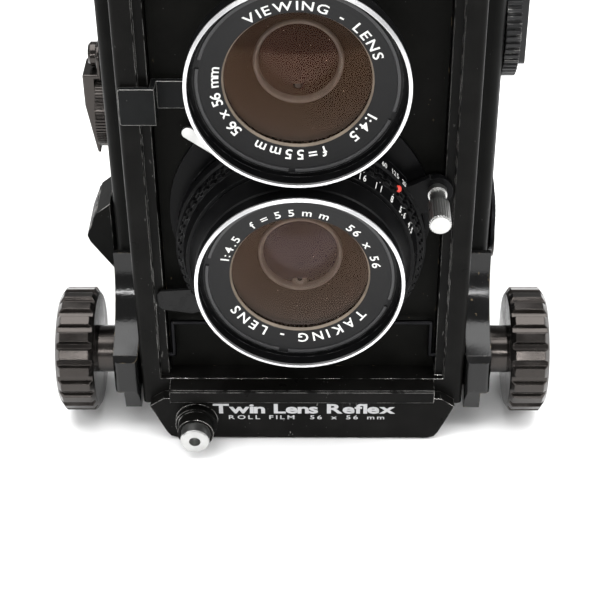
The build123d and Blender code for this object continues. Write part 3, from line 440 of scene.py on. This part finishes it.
# lettering
def glyph_mesh(text, size, thickness, stretch, weight):
    """Flat letters in X and Y as a mesh with a little thickness, and their width."""
    curve = bpy.data.curves.new("lettering", "FONT")
    curve.body = text
    curve.size = size
    curve.extrude = thickness
    curve.offset = size * weight
    curve.resolution_u = 3
    holder = bpy.data.objects.new("lettering", curve)
    bpy.context.scene.collection.objects.link(holder)
    seen = holder.evaluated_get(bpy.context.evaluated_depsgraph_get())
    mesh = bpy.data.meshes.new_from_object(seen)
    bpy.data.objects.remove(holder)
    bpy.data.curves.remove(curve)
    left = min(v.co.x for v in mesh.vertices)
    right = max(v.co.x for v in mesh.vertices)
    mesh.transform(Matrix.Diagonal((stretch, 1, 1, 1)) @ Matrix.Translation((-left, 0, 0)))
    return mesh, (right - left) * stretch


def capital_share():
    """How much of the font's size a capital letter's height takes."""
    mesh, _ = glyph_mesh("H", 1.0, 0, 1.0, 0)
    top = max(v.co.y for v in mesh.vertices)
    bpy.data.meshes.remove(mesh)
    return top


CAPITAL = capital_share()


def add_letters(shape, text, height, width, place, stretch=1.0, weight=0.012):
    """Spreads text over width, its capitals height tall; place(along, up, out) sets points."""
    size = height / CAPITAL
    parts = []
    for letter in text:
        if letter == " ":
            parts.append((None, size * 0.35 * stretch))
        else:
            parts.append(glyph_mesh(letter, size, 0.02 * MM, stretch, weight))
    gap = (width - sum(part[1] for part in parts)) / max(1, len(parts) - 1)
    along = -width / 2 if len(parts) > 1 else -parts[0][1] / 2
    for mesh, wide in parts:
        if mesh:
            for vert in mesh.vertices:
                vert.co = place(along + vert.co.x, vert.co.y, vert.co.z)
            shape.from_mesh(mesh)
            bpy.data.meshes.remove(mesh)
        along += wide + gap


def on_cone(centre, radius, degrees_from_top, surface):
    """Letters round an axis along Y, tops outward; surface(r) gives the face's y."""
    start = radians(degrees_from_top)

    def place(along, up, out):
        r = radius + up
        a = start + along / radius
        return Vector((centre.x + r * sin(a), surface(r) - out, centre.z + r * cos(a)))

    return place


def on_drum(centre, degrees_from_top, y_base, radius_at):
    """Letters round a drum about an axis along Y, tops toward the back."""
    start = radians(degrees_from_top)

    def place(along, up, out):
        y = y_base + up
        r = radius_at(y) + out
        a = start + along / radius_at(y_base)
        return Vector((centre.x + r * sin(a), y, centre.z + r * cos(a)))

    return place


def on_front(centre_x, base_z, y):
    return lambda along, up, out: Vector((centre_x + along, y - out, base_z + up))


def name_surface(centre):
    """The dished face of one name ring: y against radius."""
    low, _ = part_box("name_rings")
    front = low.y + (0.5 * MM if centre is VIEWING else 0)
    glass, outer = 16 * MM, 21 * MM

    def surface(r):
        share = min(1, max(0, (outer - r) / (outer - glass)))
        return front + share * 0.85 * MM - 0.005 * MM

    return surface


def build_name_lettering():
    """White words round each glass. The words only say what the lens does."""
    words = {
        "viewing": [
            ("VIEWING - LENS", -37, 72), ("1:4.5", 117, 140), ("f=55mm", 160, 212), ("56 x 56 mm", 226, 282),
        ],
        "taking": [
            ("TAKING - LENS", 125, 240), ("1:4.5", -75, -52), ("f=55mm", -38, 22), ("56 x 56", 38, 82),
        ],
    }
    foot = 16.6 * MM
    for name, lines in words.items():
        centre = LENSES[name]

        def build(shape):
            for text, start, end in lines:
                height = (1.9 if name == "taking" and start < 100 else 2.15) * MM
                place = on_cone(centre, foot, (start + end) / 2, name_surface(centre))
                add_letters(shape, text, height, radians(end - start) * foot, place, 1.08)

        piece_from(name + "_name_lettering", build, "front_standard", WHITE_INK)


def build_scale_numbers():
    """Stops on the sloping ring, speeds on the shutter case, and a red index."""
    low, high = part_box("aperture_ring")
    front, back = low.y, high.y

    def cone(y):
        return (26.2 + 1.1 * (y - front) / (back - front)) * MM

    def stops(shape):
        for i, text in enumerate(("4.5", "5.6", "8", "11", "16", "22", "32")):
            place = on_drum(TAKING, 70 - 9.5 * i, front + 0.6 * MM, cone)
            add_letters(shape, text, 1.8 * MM, 0.85 * MM * len(text), place, 0.62)
            tick = on_drum(TAKING, 70 - 9.5 * i, front + 3.1 * MM, cone)
            add_letters(shape, "|", 0.8 * MM, 0, tick)

    piece_from("stop_numbers", stops, "aperture_ring", WHITE_INK)

    def drum(y):
        return 29.1 * MM

    def speeds(shape):
        for i, text in enumerate(("500", "250", "125", "60", "30", "15", "8")):
            place = on_drum(TAKING, 62 - 7 * i, SPEED_FACE + 1.0 * MM, drum)
            add_letters(shape, text, 1.9 * MM, 0.75 * MM * len(text), place, 0.58)

    piece_from("speed_numbers", speeds, "front_standard", WHITE_INK)
    speed_low, speed_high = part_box("speed_ring")

    def index(shape):
        a = radians(52)
        r = 28.0 * MM
        middle = Vector((TAKING.x + r * sin(a), (speed_low.y + speed_high.y) / 2, TAKING.z + r * cos(a)))
        made = bmesh.ops.create_uvsphere(shape, u_segments=20, v_segments=10, radius=0.9 * MM)
        for vert in made["verts"]:
            vert.co = vert.co + middle

    piece_from("red_index", index, "speed_ring", RED_INK, smooth=True)


def build_apron_lettering():
    """Silver words on the panel under the lens board."""
    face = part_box("front_standard")[0].y - 3 * MM

    def build(shape):
        place = on_front(0.5 * MM, 8.75 * MM, face)
        add_letters(shape, "Twin Lens Reflex", 2.9 * MM, 45.6 * MM, place, 1.5, 0.03)
        place = on_front(1.1 * MM, 6.75 * MM, face)
        add_letters(shape, "ROLL FILM  56 x 56 mm", 1.2 * MM, 39 * MM, place, 1.5)

    piece_from("apron_lettering", build, "front_standard", SILVER_INK)


# inside the lenses
def build_lens_cells():
    """The stepped cell behind each front glass, and its inner element."""
    low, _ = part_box("front_elements")
    for name, centre in LENSES.items():
        front = low.y + (0.5 * MM if name == "viewing" else 0)
        back = front + 5.2 * MM
        ring = back + 5.4 * MM
        edge = front + 0.95 * MM

        def cell(shape):
            steps = ((15.9, back), (14.4, back + 0.8 * MM), (13.4, back + 1.0 * MM), (9.1, ring))
            add_turned(shape, [(r * MM, y) for r, y in steps], centre)

        def lip(shape):
            profile = [(9.1, 0), (9.0, -0.7), (8.5, -0.7), (8.1, 0), (7.9, 1)]
            add_turned(shape, [(r * MM, ring + y * MM) for r, y in profile], centre)

        # painted highlight: a bright brown ring just inside the glass edge
        def edge_highlight_ring(shape):
            add_turned(shape, [(15.98 * MM, edge), (15.6 * MM, edge + 0.7 * MM)], centre)

        def dome(shape):
            shares = [0.004] + [k / 14 for k in range(1, 15)]
            profile = [(8.0 * MM * k, ring + 0.6 * MM - 1.9 * MM * (1 - k**2)) for k in shares]
            add_turned(shape, profile, centre)

        piece_from(name + "_cell", cell, "front_standard", CELL_BROWN, smooth=True)
        piece_from(name + "_cell_lip", lip, "front_standard", CELL_GREY, smooth=True)
        piece_from(name + "_glass_edge_highlight", edge_highlight_ring, "front_standard", GLASS_EDGE_HIGHLIGHT, smooth=True)
        glass = ROSE_GLASS if name == "viewing" else VIOLET_GLASS
        piece_from(name + "_inner_glass", dome, "front_standard", glass, smooth=True)


def build_spanner_rings():
    """The raised retaining ring outside each name, cut through by spanner notches."""
    notches = {"viewing": (-78, 110, 183), "taking": (-78, 108, 190)}
    steps = 180
    rise = ((20.75, 0.0), (20.85, -0.3), (21.5, -0.3), (21.6, 0.0))
    for name, centre in LENSES.items():
        face = name_surface(centre)(21 * MM)

        def point(k, r, y):
            a = 2 * pi * k / steps
            return Vector((centre.x + r * MM * sin(a), face + y * MM, centre.z + r * MM * cos(a)))

        def build(shape):
            for k in range(steps):
                here = 360 * k / steps
                apart = [abs((here - notch + 180) % 360 - 180) for notch in notches[name]]
                if min(apart) < 2.2:
                    continue
                rows = [[shape.verts.new(point(k + step, r, y)) for r, y in rise] for step in (0, 1)]
                for i in range(len(rise) - 1):
                    shape.faces.new((rows[0][i], rows[0][i + 1], rows[1][i + 1], rows[1][i]))
            bmesh.ops.remove_doubles(shape, verts=shape.verts, dist=1e-7)

        # painted sheen: the ring's lighter grey stands in for the light it catches
        piece_from(name + "_spanner_ring", build, "front_standard", RING_GREY_SHEEN)


# soft parts
def pleat_section(half_x, half_z, centre_z, corner=5 * MM, steps=5):
    """A rounded rectangle across Y as (x, z) points."""
    points = []
    for sx, sz, start in ((1, 1, 0), (-1, 1, 90), (-1, -1, 180), (1, -1, 270)):
        for k in range(steps + 1):
            a = radians(start + 90 * k / steps)
            x = sx * (half_x - corner) + corner * cos(a)
            points.append((x, centre_z + sz * (half_z - corner) + corner * sin(a)))
    return points


def build_bellows():
    """Pleated leather from the body to the lens standard."""
    low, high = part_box("bellows")
    folds = 8
    depth = 4.4 * MM
    half_x = (high.x - low.x) / 2
    half_z = (high.z - low.z) / 2
    middle = (high.z + low.z) / 2
    profile = []
    for i in range(folds):
        for share, sink in ((0.0, 1.0), (0.12, 0.94), (0.4, 0.08), (0.5, 0.0), (0.6, 0.08), (0.88, 0.94)):
            profile.append((low.y + (i + share) * (high.y - low.y) / folds, sink * depth))
    profile.append((high.y, depth))

    def build(shape):
        rows = []
        for y, sink in profile:
            section = pleat_section(half_x - sink, half_z - sink, middle)
            rows.append([shape.verts.new((x, y, z)) for x, z in section])
        for here, there in zip(rows, rows[1:]):
            for i in range(len(here)):
                j = (i + 1) % len(here)
                shape.faces.new((here[i], here[j], there[j], there[i]))

    leather = MATERIALS["bellows_leather"]
    bellows = piece_from("pleated_bellows", build, None, leather, smooth=True)
    thick = bellows.modifiers.new("leather", "SOLIDIFY")
    thick.thickness = 0.5 * MM
    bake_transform(bellows)
    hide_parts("bellows")


# small fittings
def build_screen_grid():
    """Fine lines on the focusing screen."""
    low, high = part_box("focusing_screen")
    top = high.z + 0.02 * MM
    half_x, y0, y1 = 26 * MM, low.y + 3 * MM, high.y - 3 * MM

    def build(shape):
        for i in range(5):
            x = -half_x + (i + 0.5) * 2 * half_x / 5
            add_box(shape, (x - 0.06 * MM, y0, top), (x + 0.06 * MM, y1, top + 0.02 * MM))
            y = y0 + (i + 0.5) * (y1 - y0) / 5
            add_box(shape, (-half_x, y - 0.06 * MM, top), (half_x, y + 0.06 * MM, top + 0.02 * MM))

    piece_from("screen_grid", build, "camera_body", MATERIALS["gate_black"])


def build_shaft_residue():
    """Dried amber sealant smeared where the left shaft leaves its housing."""
    shaft_low, shaft_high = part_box("focus_shaft")
    centre = (shaft_low + shaft_high) / 2
    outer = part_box("focus_housings")[0].x

    def build(shape):
        made = bmesh.ops.create_icosphere(shape, subdivisions=4, radius=1.0)
        for vert in made["verts"]:
            x, y, z = vert.co
            swell = 1 + 0.09 * sin(7 * y + 3 * z) + 0.07 * sin(11 * z - 5 * x) + 0.05 * sin(17 * y)
            vert.co = Vector((x * 2.3, y * 4.0 * swell, z * 4.2 * swell)) * MM
            vert.co += Vector((outer - 1.4 * MM, centre.y, centre.z - 0.6 * MM))

    piece_from("shaft_residue", build, "camera_body", AMBER.material, smooth=True)


def dial_numbers(name, body, texts, centre, radius, size, flat, material=WHITE_INK):
    """Numbers round a dial; flat(right, up, out) turns dial axes into the frame."""

    def build(shape):
        for i, text in enumerate(texts):
            a = 2 * pi * i / len(texts)

            def place(along, up, out):
                r = radius + up
                turn = a + along / radius
                return centre + flat(r * sin(turn), r * cos(turn), out)

            if text:
                add_letters(shape, text, size, size * 0.72 * len(text), place)

    piece_from(name, build, body, material)


def build_dial_numbers():
    low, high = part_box("distance_scale")
    middle = (low + high) / 2
    face = Vector((low.x, middle.y, middle.z))
    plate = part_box("side_leathers")[1].x + 1.1 * MM
    face.x = plate + 0.02 * MM
    feet = ("1", "1.2", "1.5", "2", "2.5", "3", "4", "5", "7", "10", "15", "30")
    dial_numbers("distance_numbers", "distance_scale", feet, face, 7.6 * MM, 1.3 * MM,
                 lambda right, up, out: Vector((out, right, up)), GREY_INK)
    low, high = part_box("reminder_dial")
    face = Vector(((low.x + high.x) / 2, high.y - 0.58 * MM, (low.z + high.z) / 2))
    speeds = ("25", "50", "64", "100", "125", "160", "200", "400", "800")
    dial_numbers("film_speed_numbers", "reminder_dial", speeds, face, 11.3 * MM, 1.4 * MM,
                 lambda right, up, out: Vector((-right, out, up)), GREY_INK)
    low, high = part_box("counter_dial")
    face = Vector((low.x - 0.02 * MM, (low.y + high.y) / 2, (low.z + high.z) / 2))
    counts = ("S", "1", "", "3", "", "5", "", "7", "", "9", "", "11", "")
    dial_numbers("counter_numbers", "counter_dial", counts, face, 3.7 * MM, 1.2 * MM,
                 lambda right, up, out: Vector((-out, -right, up)))


# the studio
def build_camera():
    """The photograph's viewpoint: above and in front, a long lens, almost level."""
    pitch, yaw, roll = radians(37.48), radians(-1.12), radians(-0.63)
    forward = Vector((sin(yaw) * cos(pitch), cos(yaw) * cos(pitch), -sin(pitch)))
    right = Vector((cos(yaw), -sin(yaw), 0))
    up = right.cross(forward)
    right, up = right * cos(roll) + up * sin(roll), up * cos(roll) - right * sin(roll)
    data = bpy.data.cameras.new("camera")
    data.lens = 94.86
    data.sensor_width = 36
    data.clip_start = 0.02
    camera = bpy.data.objects.new("camera", data)
    bpy.context.scene.collection.objects.link(camera)
    turn = Matrix((right, up, -forward)).transposed()
    camera.matrix_world = Matrix.Translation((0.0056, -0.3461, 0.2723)) @ turn.to_4x4()
    bpy.context.scene.camera = camera


def build_floor():
    """A pale sheet under the camera that ends a little way in front of it."""
    low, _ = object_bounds()
    finish = Finish("pale_floor", (0.97, 0.97, 0.97), 0.8, Specular_IOR_Level=0.1)
    mesh = bpy.data.meshes.new("floor")
    shape = bmesh.new()
    corners = ((-1.8, -0.4), (1.8, -0.4), (1.8, 2.4), (-1.8, 2.4))
    shape.faces.new([shape.verts.new((x, y, 0)) for x, y in corners])
    shape.to_mesh(mesh)
    shape.free()
    mesh.materials.append(finish.material)
    floor = bpy.data.objects.new("floor", mesh)
    floor.location.z = low.z
    bpy.context.scene.collection.objects.link(floor)


def area_light(name, spot, aim, size, power, color=(1, 1, 1)):
    data = bpy.data.lights.new(name, "AREA")
    data.shape = "RECTANGLE"
    data.size, data.size_y = size
    data.energy = power
    data.color = color
    light = bpy.data.objects.new(name, data)
    light.location = spot
    light.rotation_euler = (Vector(aim) - Vector(spot)).to_track_quat("-Z", "Y").to_euler()
    bpy.context.scene.collection.objects.link(light)


def build_lights():
    world = bpy.data.worlds.new("studio")
    bpy.context.scene.world = world
    world.use_nodes = True
    back = world.node_tree.nodes["Background"]
    back.inputs["Color"].default_value = (1, 1, 1, 1)
    back.inputs["Strength"].default_value = 0.35
    area_light("overhead", (0.0, 0.02, 0.7), (0, 0.02, 0), (0.9, 0.7), 11.5)
    area_light("front_strip", (0.0, -0.95, 0.42), (0, 0, 0.08), (0.45, 0.06), 3.0)
    area_light("left", (-0.6, -0.35, 0.5), (0, 0, 0.08), (0.35, 0.35), 2.2)
    area_light("right", (0.6, -0.2, 0.5), (0, 0, 0.08), (0.3, 0.4), 2.6)
    view = bpy.context.scene.view_settings
    view.view_transform = "Standard"
    view.look = "None"


build_camera()
dress_cad_nodes()
build_bellows()
build_lens_cells()
build_spanner_rings()
build_name_lettering()
build_scale_numbers()
build_apron_lettering()
build_screen_grid()
build_dial_numbers()
build_shaft_residue()
build_floor()
build_lights()
